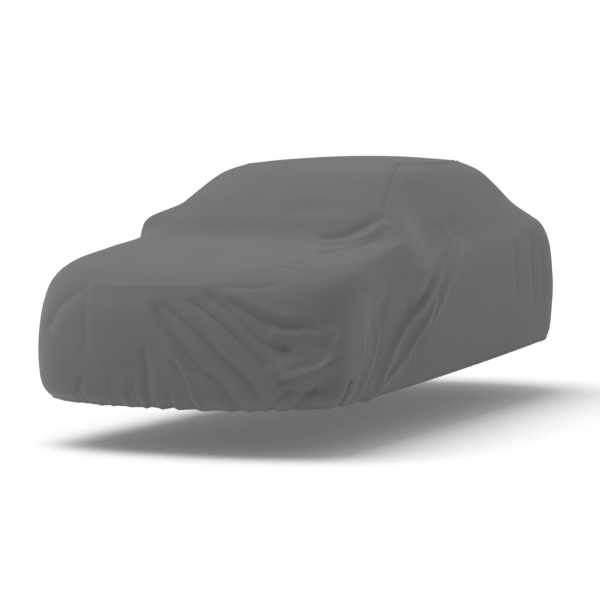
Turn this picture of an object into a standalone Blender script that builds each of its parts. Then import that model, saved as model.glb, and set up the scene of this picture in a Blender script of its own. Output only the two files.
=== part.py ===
"""Fitted car cover: a long centre panel and two side panels, with a pouch over each door mirror.

The cloth is one sheet that follows lines running right round the car, from the hem up to the
edge of the roof. The first table draws those lines, the second one lays folds on the sheet, and
the sheet is thickened inwards and then parted along its seams into panels and mirror pockets.

Metres. +X is the car's left, -Y is its front and +Z is up. The tables count heights from the
ground. The origin is under the top of the roof, where the car holds the cover up.
"""

from collections import defaultdict, namedtuple

import bpy
import numpy as np

NAME = "car_cover"
PANELS = ("centre_panel", "side_panel_left", "side_panel_right", "mirror_pocket_left", "mirror_pocket_right")
CLOTH = 0.0025  # thickness of the cloth
SEAM_GAP = 0.0008  # between two pieces that are sewn together
ORIGIN = (0.0, 0.55, 1.6936)  # under the roof's top, from the tables' own zero on the ground
ROOF_CROWN = 0.0295  # rise of the roof cloth from its side edges to its middle

CLOTH_COLOUR = (0.178, 0.178, 0.180, 1.0)
CLOTH_ROUGHNESS = 0.85

# The lines that run round the car. Each passes the front at (front_y, front_z), bends round a
# corner front_round deep to (fore_x, fore_z), passes the middle of the side at (mid_x, mid_z) and
# (aft_x, aft_z), and bends round a corner rear_round deep to the tail at (rear_y, rear_z).
Line = namedtuple(
    "Line",
    "name front_y front_z front_round fore_x fore_z mid_x mid_z aft_x aft_z"
    " rear_round rear_y rear_z cells",
)
LINE_ROWS = [
    #                front             fore          middle        aft           rear
    # name             y       z    rnd   x      z      x      z      x      z   rnd    y      z   cells
    ("hem",          -2.340, 0.272, 0.50, 0.930, 0.285, 0.960, 0.335, 0.945, 0.392, 0.78, 2.41, 0.426, 1),
    ("tuck",         -2.410, 0.350, 0.50, 0.970, 0.365, 0.978, 0.410, 0.962, 0.470, 0.80, 2.46, 0.512, 2),
    ("bumper",       -2.435, 0.510, 0.52, 0.988, 0.525, 0.988, 0.550, 0.970, 0.610, 0.80, 2.48, 0.650, 3),
    ("face",         -2.430, 0.690, 0.54, 0.990, 0.695, 0.992, 0.705, 0.975, 0.760, 0.80, 2.49, 0.800, 3),
    ("face top",     -2.390, 0.860, 0.56, 0.985, 0.855, 0.988, 0.855, 0.970, 0.910, 0.80, 2.48, 0.950, 2),
    ("bonnet edge",  -2.285, 0.985, 0.56, 0.975, 0.990, 0.968, 0.970, 0.955, 1.050, 0.78, 2.46, 1.090, 2),
    ("bonnet front", -2.070, 1.075, 0.54, 0.940, 1.085, 0.935, 1.060, 0.925, 1.150, 0.72, 2.41, 1.195, 1),
    ("bonnet",       -1.640, 1.155, 0.50, 0.895, 1.152, 0.895, 1.135, 0.885, 1.220, 0.66, 2.35, 1.255, 2),
    ("cowl",         -1.190, 1.215, 0.36, 0.855, 1.208, 0.855, 1.205, 0.840, 1.268, 0.60, 2.24, 1.300, 2),
    ("glass low",    -0.950, 1.345, 0.32, 0.780, 1.335, 0.800, 1.330, 0.765, 1.362, 0.54, 2.01, 1.392, 1),
    ("glass",        -0.680, 1.485, 0.30, 0.705, 1.480, 0.735, 1.465, 0.700, 1.485, 0.48, 1.79, 1.510, 1),
    ("glass top",    -0.400, 1.600, 0.26, 0.640, 1.595, 0.665, 1.585, 0.645, 1.592, 0.42, 1.54, 1.616, 1),
    ("roof edge",    -0.110, 1.655, 0.22, 0.555, 1.655, 0.585, 1.660, 0.570, 1.664, 0.34, 1.22, 1.680, 0),
]
LINES = [Line(*row) for row in LINE_ROWS]
# Half width of the centre panel at each of the lines, and its most at the tail, as a share of aft_x.
SEAM_X = (0.86, 0.88, 0.90, 0.90, 0.90, 0.89, 0.87, 0.845, 0.795, 0.715, 0.655, 0.595, 0.520)
TAIL_SHARE = 0.90
FRONT_SHAPE = 2.7  # exponent of the superellipse of the front corners, 2 being an ellipse
REAR_SHAPE = 2.3  # the same for the rear corners
MID_SHARE = 0.50  # where along the side its middle column counts

# Cells of the sheet along half of each end, round each corner and along each side.
END_CELLS = 11
FRONT_CORNER_CELLS = 5
SIDE_CELLS = 12
REAR_CORNER_CELLS = 3
END_CROWDING = 0.80  # the front's cells crowd towards its corners, where the folds are
SIDE_CROWDING = 1.35  # and the side's cells crowd towards the front

# Folds: ridges of a positive height and troughs of a negative one, on a smooth path over the sheet.
# Each falls away to both sides over its width and fades at both ends of its path, so a path that
# runs past the hem keeps its fold open there.
Fold = namedtuple("Fold", "name height width path")
FOLDS = [
    # the far front corner and the face
    Fold(
        "far corner trough", -0.016, 0.055,
        ((-0.53, -2.26, 0.99), (-0.67, -2.31, 0.85), (-0.84, -2.25, 0.64)),
    ),
    Fold(
        "far corner ridge", 0.012, 0.045,
        ((-0.61, -2.30, 0.97), (-0.58, -2.38, 0.75), (-0.57, -2.40, 0.50)),
    ),
    Fold(
        "far face trough", -0.012, 0.045,
        ((-0.53, -2.30, 0.96), (-0.49, -2.40, 0.70), (-0.49, -2.40, 0.42)),
    ),
    Fold(
        "face trough", -0.008, 0.060,
        ((-0.27, -2.32, 0.96), (-0.24, -2.43, 0.74), (-0.25, -2.43, 0.56)),
    ),
    Fold(
        "face hem trough", -0.012, 0.040,
        ((-0.15, -2.40, 0.72), (-0.09, -2.43, 0.50), (-0.08, -2.35, 0.22)),
    ),
    # the fan that runs from the edge of the bonnet down to the near front corner
    Fold(
        "fan ridge 1", 0.024, 0.055,
        ((-0.16, -2.36, 0.93), (0.03, -2.43, 0.65), (0.20, -2.42, 0.40), (0.30, -2.34, 0.20)),
    ),
    Fold(
        "fan trough 1", -0.020, 0.055,
        ((-0.04, -2.37, 0.92), (0.18, -2.43, 0.69), (0.37, -2.41, 0.50), (0.56, -2.33, 0.24)),
    ),
    Fold(
        "fan ridge 2", 0.022, 0.055,
        ((0.12, -2.36, 0.94), (0.33, -2.41, 0.74), (0.53, -2.40, 0.57), (0.74, -2.33, 0.36)),
    ),
    Fold(
        "fan trough 2", -0.026, 0.050,
        ((0.26, -2.32, 0.96), (0.46, -2.37, 0.83), (0.64, -2.36, 0.70), (0.84, -2.28, 0.61)),
    ),
    Fold(
        "fan ridge 3", 0.024, 0.045,
        ((0.36, -2.33, 0.94), (0.58, -2.36, 0.80), (0.78, -2.30, 0.71), (0.94, -2.15, 0.69)),
    ),
    Fold(
        "fan trough 3", -0.028, 0.045,
        ((0.42, -2.33, 0.96), (0.62, -2.34, 0.87), (0.80, -2.27, 0.80), (0.96, -2.10, 0.74)),
    ),
    # the crumpled bulge on the near front corner, and the cloth drawn in under it
    Fold(
        "corner bulge", 0.026, 0.050,
        ((0.64, -2.36, 0.34), (0.76, -2.32, 0.48), (0.87, -2.25, 0.54), (0.97, -2.08, 0.62)),
    ),
    Fold("corner dimple", -0.018, 0.035, ((0.74, -2.33, 0.64), (0.84, -2.27, 0.60), (0.92, -2.17, 0.60))),
    Fold(
        "drawn-in corner", -0.040, 0.090,
        ((0.74, -2.33, 0.34), (0.90, -2.21, 0.40), (0.98, -2.00, 0.44)),
    ),
    Fold(
        "corner hem ridge", 0.016, 0.035,
        ((0.93, -2.16, 0.43), (0.82, -2.20, 0.34), (0.74, -2.22, 0.22)),
    ),
    # the near side
    Fold("wheel hollow", -0.026, 0.170, ((0.99, -1.62, 0.78), (0.99, -1.30, 0.76), (0.99, -0.98, 0.84))),
    Fold(
        "wheel trough 1", -0.018, 0.060,
        ((0.98, -1.50, 0.97), (0.99, -1.57, 0.82), (0.99, -1.66, 0.60)),
    ),
    Fold(
        "wheel trough 2", -0.014, 0.035,
        ((0.99, -1.70, 0.70), (0.99, -1.76, 0.50), (0.96, -1.95, 0.22)),
    ),
    Fold(
        "wheel trough 3", -0.014, 0.035,
        ((0.99, -1.44, 0.64), (0.98, -1.59, 0.46), (0.96, -1.80, 0.22)),
    ),
    Fold(
        "long ridge 1", 0.026, 0.045,
        (
            (0.86, 0.26, 1.27), (0.93, -0.32, 1.09), (0.99, -0.90, 0.80), (0.99, -1.21, 0.59),
            (0.95, -1.80, 0.22),
        ),
    ),
    Fold(
        "long trough", -0.020, 0.040,
        (
            (0.88, 0.14, 1.20), (0.97, -0.40, 0.99), (0.99, -0.93, 0.71), (0.98, -1.26, 0.52),
            (0.97, -1.60, 0.34),
        ),
    ),
    Fold(
        "long ridge 2", 0.024, 0.042,
        (
            (0.90, 0.14, 1.14), (0.98, -0.37, 0.90), (0.99, -0.78, 0.62), (0.98, -1.18, 0.43),
            (0.96, -1.56, 0.22),
        ),
    ),
    Fold("upper trough", -0.012, 0.060, ((0.82, -0.20, 1.28), (0.86, -0.57, 1.19), (0.95, -1.05, 1.03))),
    Fold("rear trough 1", -0.012, 0.050, ((0.92, 1.16, 1.16), (0.97, 1.03, 0.96), (0.98, 1.00, 0.74))),
    Fold("rear trough 2", -0.018, 0.045, ((0.91, 1.52, 1.20), (0.97, 1.40, 0.96), (0.98, 1.43, 0.66))),
    Fold("rear ridge", 0.012, 0.045, ((0.92, 1.58, 1.18), (0.97, 1.52, 0.96), (0.98, 1.54, 0.70))),
    # the bonnet and the foot of the windscreen
    Fold("bonnet lip", 0.010, 0.050, ((-0.66, -2.24, 0.97), (-0.10, -2.31, 0.975), (0.42, -2.25, 0.99))),
    Fold(
        "bonnet edge trough", -0.010, 0.035,
        ((0.30, -2.25, 1.01), (0.45, -2.26, 0.98), (0.64, -2.18, 1.00)),
    ),
    Fold(
        "bonnet side trough", -0.014, 0.045,
        ((0.50, -1.98, 1.09), (0.68, -2.01, 1.07), (0.86, -2.04, 1.02)),
    ),
    Fold("cowl trough 1", -0.016, 0.050, ((0.44, -1.10, 1.24), (0.63, -1.07, 1.24), (0.72, -0.78, 1.35))),
    Fold("cowl ridge", 0.014, 0.045, ((0.50, -1.26, 1.20), (0.70, -1.12, 1.21), (0.77, -0.86, 1.29))),
    Fold("cowl trough 2", -0.012, 0.040, ((0.58, -1.52, 1.16), (0.72, -1.33, 1.17), (0.79, -1.02, 1.21))),
    # the hidden side and the tail, finished plainly in the same manner
    Fold(
        "far long ridge", 0.022, 0.060,
        ((-0.86, 0.20, 1.27), (-0.93, -0.40, 1.08), (-0.99, -0.95, 0.78), (-0.95, -1.75, 0.22)),
    ),
    Fold(
        "far long trough", -0.018, 0.055,
        ((-0.90, 0.10, 1.14), (-0.98, -0.45, 0.90), (-0.99, -0.90, 0.62), (-0.96, -1.60, 0.22)),
    ),
    Fold(
        "far wheel trough", -0.016, 0.060,
        ((-0.99, -1.60, 0.90), (-0.99, -1.68, 0.66), (-0.96, -1.86, 0.22)),
    ),
    Fold(
        "far rear trough", -0.018, 0.060,
        ((-0.92, 1.40, 1.18), (-0.97, 1.30, 0.92), (-0.98, 1.26, 0.60)),
    ),
    Fold("far rear ridge", 0.014, 0.060, ((-0.92, 1.58, 1.16), (-0.97, 1.55, 0.90), (-0.96, 1.56, 0.22))),
    Fold("tail trough 1", -0.018, 0.055, ((0.52, 2.40, 1.12), (0.60, 2.45, 0.80), (0.66, 2.38, 0.22))),
    Fold("tail ridge", 0.014, 0.060, ((0.30, 2.42, 1.10), (0.36, 2.48, 0.76), (0.34, 2.44, 0.22))),
    Fold("tail trough 2", -0.016, 0.060, ((-0.20, 2.45, 1.08), (-0.26, 2.48, 0.76), (-0.30, 2.44, 0.22))),
    Fold("tail trough 3", -0.018, 0.055, ((-0.56, 2.38, 1.12), (-0.62, 2.44, 0.80), (-0.70, 2.34, 0.22))),
]
FOLD_STEPS = 24  # straight steps in each fold's path
FADE_SHARE = 0.28  # of a fold's length, over which it rises at either end

# How the door mirrors push the cloth out sideways: by reach at the height peak, fading to low and
# top, and over spread to the front and back of y. Below peak the middle leans forwards by lean.
Mirror = namedtuple("Mirror", "name side y low peak top reach spread lean")
MIRRORS = [
    Mirror("mirror_pocket_left", 1, -0.84, 0.76, 1.20, 1.52, 0.085, 0.205, 0.4),
    Mirror("mirror_pocket_right", -1, -0.79, 1.05, 1.31, 1.44, 0.130, 0.085, 0.2),
]
PILLAR_X = (0.60, 0.80)  # the mirrors leave the cloth alone inside the first, and push it fully from here
# The cells of a mirror pocket: its lower and upper line, as places in LINES, and the columns of the
# side that it takes, counted from where the front corner ends.
POCKET_LINES = (7.5, 9.0)
POCKET_CELLS = (-2, 2)


def smooth(rows, at):
    """The table's columns at the places at, counted in rows, on a smooth curve through all of them."""
    rows = np.asarray(rows, float)
    last = len(rows) - 1
    slope = np.empty_like(rows)
    slope[1:-1] = (rows[2:] - rows[:-2]) / 2
    slope[0] = rows[1] - rows[0]
    slope[-1] = rows[-1] - rows[-2]
    i = np.clip(np.floor(at).astype(int), 0, last - 1)
    t = (np.asarray(at) - i)[:, None]
    return (
        (2 * t**3 - 3 * t**2 + 1) * rows[i]
        + (t**3 - 2 * t**2 + t) * slope[i]
        + (3 * t**2 - 2 * t**3) * rows[i + 1]
        + (t**3 - t**2) * slope[i + 1]
    )


def ease(t):
    t = np.clip(t, 0, 1)
    return t * t * (3 - 2 * t)


def half_line(line, seam_x, steps):
    """Points of one line down the left half, from the front's middle to the tail's, at the given steps.

    steps holds the shares along each span: the front, its corner, the side, the tail's corner, the tail.
    """
    turn = np.linspace(0, np.pi / 2, 181)
    bend = np.linspace(0, 1, 241)
    front_start = line.front_y + line.front_round
    rear_start = line.rear_y - line.rear_round
    front_x = line.fore_x * np.sin(turn) ** (2 / FRONT_SHAPE)
    front_y = front_start - line.front_round * np.cos(turn) ** (2 / FRONT_SHAPE)
    side_y = front_start + (rear_start - front_start) * bend
    side_x = curve_through(bend, line.fore_x, line.mid_x, line.aft_x)
    rear_x = line.aft_x * np.cos(turn) ** (2 / REAR_SHAPE)
    rear_y = rear_start + line.rear_round * np.sin(turn) ** (2 / REAR_SHAPE)
    front_z = line.front_z + (line.fore_z - line.front_z) * ease(turn / turn[-1])
    side_z = curve_through(bend, line.fore_z, line.mid_z, line.aft_z)
    rear_z = line.aft_z + (line.rear_z - line.aft_z) * ease(turn / turn[-1])
    x = np.concatenate([front_x, side_x[1:], rear_x[1:]])
    y = np.concatenate([front_y, side_y[1:], rear_y[1:]])
    z = np.concatenate([front_z, side_z[1:], rear_z[1:]])
    along = np.concatenate([[0], np.cumsum(np.hypot(np.diff(x), np.diff(y)))])
    tail_x = min(seam_x, TAIL_SHARE * line.aft_x)
    corner_end, side_end = along[len(front_x) - 1], along[len(front_x) + len(side_x) - 2]
    marks = [
        0,
        np.interp(seam_x, front_x, along[: len(front_x)]),
        corner_end,
        side_end,
        along[-1] - np.interp(tail_x, rear_x[::-1], (along[-1] - along[-len(rear_x) :])[::-1]),
        along[-1],
    ]
    at = np.concatenate([[0]] + [a + (b - a) * s for a, b, s in zip(marks, marks[1:], steps)])
    return np.column_stack([np.interp(at, along, x), np.interp(at, along, y), np.interp(at, along, z)])


def curve_through(t, start, middle, end):
    """A parabola through start, middle (at MID_SHARE) and end."""
    m = MID_SHARE
    bow = (middle - start - (end - start) * m) / (m * (1 - m))
    return start + (end - start) * t + bow * t * (1 - t)


def mirror_push(points):
    """How far sideways each of the points moves for the door mirrors under the cloth."""
    x, y, z = points.T
    push = np.zeros(len(points))
    for mirror in MIRRORS:
        rise = ease((z - mirror.low) / (mirror.peak - mirror.low))
        fall = ease((mirror.top - z) / (mirror.top - mirror.peak))
        middle = mirror.y - mirror.lean * (mirror.peak - z)
        share = ease((x * mirror.side - PILLAR_X[0]) / (PILLAR_X[1] - PILLAR_X[0]))
        across = np.exp(-(((y - middle) / mirror.spread) ** 2))
        push += mirror.side * mirror.reach * rise * fall * share * across
    return push


class Sheet:
    """The whole cover as points and four-sided cells, each cell with its panel."""

    def __init__(self):
        shares = [
            np.linspace(0, 1, cells + 1)[1:]
            for cells in (END_CELLS, FRONT_CORNER_CELLS, SIDE_CELLS, REAR_CORNER_CELLS, END_CELLS)
        ]
        shares[0] = shares[0] ** END_CROWDING
        shares[2] = shares[2] ** SIDE_CROWDING
        shares[4] = 1 - (1 - shares[4]) ** END_CROWDING
        self.end = END_CELLS
        self.side = FRONT_CORNER_CELLS + SIDE_CELLS + REAR_CORNER_CELLS
        self.levels = [0.0] + [
            i + (k + 1) / line.cells for i, line in enumerate(LINES[:-1]) for k in range(line.cells)
        ]
        rows = [(*line[1:-1], seam_x) for line, seam_x in zip(LINES, SEAM_X)]
        loops = []
        for *row, seam_x in smooth(rows, np.array(self.levels)):
            left = half_line(Line("", *row, 0), seam_x, shares)
            right = left[-2:0:-1] * (-1, 1, 1)
            loops.append(np.concatenate([left, right]))
        self.round = len(loops[0])
        self.rings = len(loops)
        points = np.concatenate(loops + [self.roof(loops[-1])])
        points[:, 0] += mirror_push(points)
        self.points = points - ORIGIN
        self.cells, self.panel = self.make_cells()

    def roof_ring(self, row, column):
        """The number, on the roof's edge, of the roof's point at the given row and column."""
        if row == 0:
            return (column - self.end) % self.round
        if row == self.side:
            return self.end + self.side + 2 * self.end - column
        return self.round - self.end - row if column == 0 else self.end + row

    def roof(self, edge):
        """The roof's inner points, on a crowned surface between its four edges."""
        across = np.linspace(0, 1, 2 * self.end + 1)
        down = np.linspace(0, 1, self.side + 1)
        front = edge[[self.roof_ring(0, c) for c in range(2 * self.end + 1)]]
        back = edge[[self.roof_ring(self.side, c) for c in range(2 * self.end + 1)]]
        right = edge[[self.roof_ring(r, 0) for r in range(self.side + 1)]]
        left = edge[[self.roof_ring(r, 2 * self.end) for r in range(self.side + 1)]]
        u, v = across[None, :, None], down[:, None, None]
        grid = (
            (1 - u) * right[:, None] + u * left[:, None] + (1 - v) * front[None] + v * back[None]
            - (1 - u) * (1 - v) * front[0] - u * (1 - v) * front[-1]
            - (1 - u) * v * back[0] - u * v * back[-1]
        )
        grid[..., 2] += ROOF_CROWN * ((1 - (2 * u - 1) ** 2) * (1 - (2 * v - 1) ** 4))[..., 0]
        return grid[1:-1, 1:-1].reshape(-1, 3)

    def make_cells(self):
        cells, panel = [], []
        for i in range(self.rings - 1):
            for j in range(self.round):
                k = (j + 1) % self.round
                a = i * self.round
                cells.append((a + j, a + k, a + self.round + k, a + self.round + j))
                panel.append(self.panel_of(i, j))
        top = (self.rings - 1) * self.round
        inner = 2 * self.end - 1

        def roof_point(row, column):
            if 0 < row < self.side and 0 < column < 2 * self.end:
                return self.rings * self.round + (row - 1) * inner + column - 1
            return top + self.roof_ring(row, column)

        for r in range(self.side):
            for c in range(2 * self.end):
                cells.append(
                    (roof_point(r, c), roof_point(r, c + 1), roof_point(r + 1, c + 1), roof_point(r + 1, c))
                )
                panel.append("centre_panel")
        return np.array(cells), np.array(panel)

    def panel_of(self, i, j):
        """The panel that holds the cell j of ring i."""
        low, high = (self.levels.index(level) for level in POCKET_LINES)
        first, last = (self.end + FRONT_CORNER_CELLS + cell for cell in POCKET_CELLS)
        for side, column in (("left", j), ("right", self.round - 1 - j)):
            if low <= i < high and first <= column < last:
                return "mirror_pocket_" + side
            if self.end <= column < self.end + self.side:
                return "side_panel_" + side
        return "centre_panel"


def fold_path(fold, points, normals):
    """The fold's smooth path, drawn onto the sheet: its points and the sheet's normals there."""
    way = np.array(fold.path) - ORIGIN
    path = smooth(way, np.linspace(0, len(way) - 1, FOLD_STEPS + 1))
    nearest = np.array([np.argmin(((points - p) ** 2).sum(1)) for p in path])
    normal = normals[nearest]
    off = ((path - points[nearest]) * normal).sum(1)
    return path - off[:, None] * normal


def lay_folds(points, normals, folds):
    """How far every point of the sheet moves out along its normal for all the folds."""
    move = np.zeros(len(points))
    for fold in folds:
        path = fold_path(fold, points, normals)
        near = np.flatnonzero(
            ((points > path.min(0) - 3 * fold.width) & (points < path.max(0) + 3 * fold.width)).all(1)
        )
        best = np.full(len(near), np.inf)
        place = np.zeros(len(near))
        for k, (a, b) in enumerate(zip(path, path[1:])):
            span = b - a
            t = np.clip(((points[near] - a) @ span) / (span @ span), 0, 1)
            gap = np.linalg.norm(points[near] - a - t[:, None] * span, axis=1)
            closer = gap < best
            best[closer] = gap[closer]
            place[closer] = (k + t[closer]) / FOLD_STEPS
        fade = ease(np.minimum(place, 1 - place) / FADE_SHARE)
        move[near] += fold.height * fade * np.exp(-((best / fold.width) ** 2))
    return move


def normals_of(points, cells):
    """The normal at every point, from the cells round it."""
    corner = points[cells]
    face = np.cross(corner[:, 2] - corner[:, 0], corner[:, 3] - corner[:, 1])
    normals = np.zeros_like(points)
    for k in range(4):
        np.add.at(normals, cells[:, k], face)
    return normals / np.linalg.norm(normals, axis=1)[:, None]


def split_along_folds(sheet, move):
    """Two triangles for each cell, parted by the diagonal that runs along its folds, and their panels."""
    a, b, c, d = sheet.cells.T
    along = np.abs(move[a] - move[c]) <= np.abs(move[b] - move[d])
    first = np.where(along[:, None], np.column_stack([a, b, c]), np.column_stack([a, b, d]))
    second = np.where(along[:, None], np.column_stack([a, c, d]), np.column_stack([b, c, d]))
    return np.concatenate([first, second]), np.concatenate([sheet.panel, sheet.panel])


def new_object(name, points, cells, collection, material):
    mesh = bpy.data.meshes.new(name)
    mesh.from_pydata([tuple(p) for p in points], [], [tuple(c) for c in cells])
    mesh.materials.append(material)
    mesh.shade_smooth()
    o = bpy.data.objects.new(name, mesh)
    collection.objects.link(o)
    return o


def thickened(points, cells, collection, material):
    """The points of the sheet's inner face, from Solidify on the whole sheet."""
    o = new_object("whole sheet", points, cells, collection, material)
    solid = o.modifiers.new("cloth", "SOLIDIFY")
    solid.thickness = CLOTH
    solid.offset = -1
    bpy.context.view_layer.update()
    mesh = bpy.data.meshes.new_from_object(o.evaluated_get(bpy.context.evaluated_depsgraph_get()))
    inner = np.array([tuple(v.co) for v in mesh.vertices])[len(points) :]
    bpy.data.objects.remove(o, do_unlink=True)
    bpy.data.meshes.remove(mesh)
    return inner


def border_of(cells):
    """The cells' edges that only one of them has, in the direction in which that cell runs."""
    edges = {(a, b) for cell in cells for a, b in zip(cell, (*cell[1:], cell[0]))}
    return sorted((a, b) for a, b in edges if (b, a) not in edges)


def seam_moves(points, cells, border):
    """How the points at a panel's seams move into the panel, square to the seams, by half their gap."""
    inward = defaultdict(list)
    for cell in cells:
        for a, b in zip(cell, (*cell[1:], cell[0])):
            if (a, b) in border:
                out = np.cross(points[cell[1]] - points[cell[0]], points[cell[2]] - points[cell[0]])
                square = np.cross(out, points[b] - points[a])
                for p in (a, b):
                    inward[p].append(square / np.linalg.norm(square))
    moves = {}
    for p, ways in inward.items():
        way = sum(ways) / np.linalg.norm(sum(ways))
        moves[p] = way * (SEAM_GAP / 2 / min(way @ w for w in ways))
    return moves


def make_panel(name, sheet, outer, inner, cells, collection, material):
    """One panel of the sheet: both faces of its cells, and rims along its border, drawn back at seams."""
    border = border_of([tuple(c) for c in cells])
    seams = {edge for edge in border if max(edge) >= sheet.round}
    outer, inner = outer.copy(), inner.copy()
    for side in (outer, inner):
        for p, move in seam_moves(side, cells, seams).items():
            side[p] += move
    used = np.unique(cells)
    number = {p: i for i, p in enumerate(used)}
    n = len(used)
    faces = [[number[p] for p in cell] for cell in cells]
    faces += [[number[p] + n for p in cell[::-1]] for cell in cells]
    for a, b in border:
        i, j = number[a], number[b]
        faces += [(j, i, j + n), (i, i + n, j + n)] if a < b else [(j, i, i + n), (j, i + n, j + n)]
    return new_object(name, np.concatenate([outer[used], inner[used]]), faces, collection, material)


def cloth_material():
    material = bpy.data.materials.new("cover_cloth")
    material.use_nodes = True
    shader = material.node_tree.nodes["Principled BSDF"]
    shader.inputs["Base Color"].default_value = CLOTH_COLOUR
    shader.inputs["Roughness"].default_value = CLOTH_ROUGHNESS
    shader.inputs["Metallic"].default_value = 0.0
    return material


def main():
    for o in list(bpy.data.objects):
        bpy.data.objects.remove(o, do_unlink=True)
    collection = bpy.data.collections.new(NAME)
    bpy.context.scene.collection.children.link(collection)
    material = cloth_material()
    sheet = Sheet()
    normals = normals_of(sheet.points, sheet.cells)
    move = lay_folds(sheet.points, normals, FOLDS)
    outer = sheet.points + normals * move[:, None]
    faces, panel = split_along_folds(sheet, move)
    inner = thickened(outer, faces, collection, material)
    for name in PANELS:
        make_panel(name, sheet, outer, inner, faces[panel == name], collection, material)


if __name__ == "__main__":
    main()
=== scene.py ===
"""The car cover's cloth: its panels with all their folds, its seams, gathered hem and mirror pockets.

One sheet follows lines that run right round the car. It is drawn on a fine grid, coarser on the
roof and the glass, takes its folds from a table, is parted along its seams and is thickened. The
tables count heights from the ground; the frame's origin is under the top of the roof.
"""

import math
from collections import namedtuple

import bpy
import numpy as np
from mathutils import Matrix, Vector


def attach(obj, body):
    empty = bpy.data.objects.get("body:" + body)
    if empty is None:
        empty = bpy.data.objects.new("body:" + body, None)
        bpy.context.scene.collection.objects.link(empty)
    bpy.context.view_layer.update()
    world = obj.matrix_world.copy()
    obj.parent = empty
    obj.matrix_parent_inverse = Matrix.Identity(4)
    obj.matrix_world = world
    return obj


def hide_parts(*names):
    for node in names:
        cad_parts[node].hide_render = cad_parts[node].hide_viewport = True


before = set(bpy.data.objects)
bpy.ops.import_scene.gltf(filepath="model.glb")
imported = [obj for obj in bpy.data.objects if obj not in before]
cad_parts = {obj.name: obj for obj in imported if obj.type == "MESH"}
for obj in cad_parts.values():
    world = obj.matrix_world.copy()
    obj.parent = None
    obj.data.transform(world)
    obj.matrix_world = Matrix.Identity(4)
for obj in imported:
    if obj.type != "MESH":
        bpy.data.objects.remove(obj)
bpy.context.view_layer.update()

ORIGIN = np.array((0.0, 0.55, 1.6936))  # the frame's origin in the tables
CLOTH = 0.0025  # thickness
ROOF_CROWN = 0.0295  # how far the roof's middle rises above its edges
FRONT_SHAPE = 2.7  # how square the corners are: 2 is a round one
REAR_SHAPE = 2.3
TURN_POINTS = 361  # a line is first drawn with this many points round each corner
BEND_POINTS = 401  # and this many along its side

# A line round the car: the middle of its front, the fore end, the middle and the aft end of its
# side, the middle of its rear, and how far its corners reach along the side. The last column is the
# number of cells up to the next line.
Line = namedtuple(
    "Line",
    "name front_y front_z front_round fore_x fore_z mid_x mid_z aft_x aft_z"
    " rear_round rear_y rear_z cells",
)
LINE_ROWS = [
    #                front             fore          middle        aft           rear
    # name             y       z    rnd   x      z      x      z      x      z   rnd    y      z   cells
    ("hem",          -2.340, 0.272, 0.50, 0.930, 0.285, 0.960, 0.335, 0.945, 0.392, 0.78, 2.41, 0.426, 16),
    ("tuck",         -2.410, 0.350, 0.50, 0.970, 0.365, 0.978, 0.410, 0.962, 0.470, 0.80, 2.46, 0.512, 20),
    ("bumper",       -2.435, 0.510, 0.52, 0.988, 0.525, 0.988, 0.550, 0.970, 0.610, 0.80, 2.48, 0.650, 22),
    ("face",         -2.430, 0.690, 0.54, 0.990, 0.695, 0.992, 0.705, 0.975, 0.760, 0.80, 2.49, 0.800, 22),
    ("face top",     -2.390, 0.860, 0.56, 0.985, 0.855, 0.988, 0.855, 0.970, 0.910, 0.80, 2.48, 0.950, 20),
    ("bonnet edge",  -2.285, 0.985, 0.56, 0.975, 0.990, 0.968, 0.970, 0.955, 1.050, 0.78, 2.46, 1.090, 18),
    ("bonnet front", -2.070, 1.075, 0.54, 0.940, 1.085, 0.935, 1.060, 0.925, 1.150, 0.72, 2.41, 1.195, 24),
    ("bonnet",       -1.640, 1.155, 0.50, 0.895, 1.152, 0.895, 1.135, 0.885, 1.220, 0.66, 2.35, 1.255, 26),
    ("cowl",         -1.190, 1.215, 0.36, 0.855, 1.208, 0.855, 1.205, 0.840, 1.268, 0.60, 2.24, 1.300, 18),
    ("glass low",    -0.950, 1.345, 0.32, 0.780, 1.335, 0.800, 1.330, 0.765, 1.362, 0.54, 2.01, 1.392, 14),
    ("glass",        -0.680, 1.485, 0.30, 0.705, 1.480, 0.735, 1.465, 0.700, 1.485, 0.48, 1.79, 1.510, 12),
    ("glass top",    -0.400, 1.600, 0.26, 0.640, 1.595, 0.665, 1.585, 0.645, 1.592, 0.42, 1.54, 1.616, 12),
    ("roof edge",    -0.110, 1.655, 0.22, 0.555, 1.655, 0.585, 1.660, 0.570, 1.664, 0.34, 1.22, 1.680, 0),
]
LINES = [Line(*row) for row in LINE_ROWS]
# Half width of the centre panel at each of the lines, and its most at the tail, as a share.
SEAM_X = (0.86, 0.88, 0.90, 0.90, 0.90, 0.89, 0.87, 0.845, 0.795, 0.715, 0.655, 0.595, 0.520)
TAIL_SHARE = 0.90

# Cells along half of each end, round each corner and along each side: multiples of the widest stride.
END_CELLS = 100
CORNER_CELLS = 40
SIDE_CELLS = 216
REAR_CELLS = 24
END_CROWDING = 0.92  # under 1, cells crowd towards the corner
SIDE_CROWDING = 1.35  # over 1, they crowd towards the front
STRIDES = ((0, 1), (5, 2), (9, 4))  # from this line up, cells are this many columns wide
TAIL_HEM_RINGS = 8  # above these the tail's cells, whose folds run straight up, are taller
TAIL_STEP = 3  # by this many rings

Fold = namedtuple("Fold", "name height width edge path")
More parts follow.
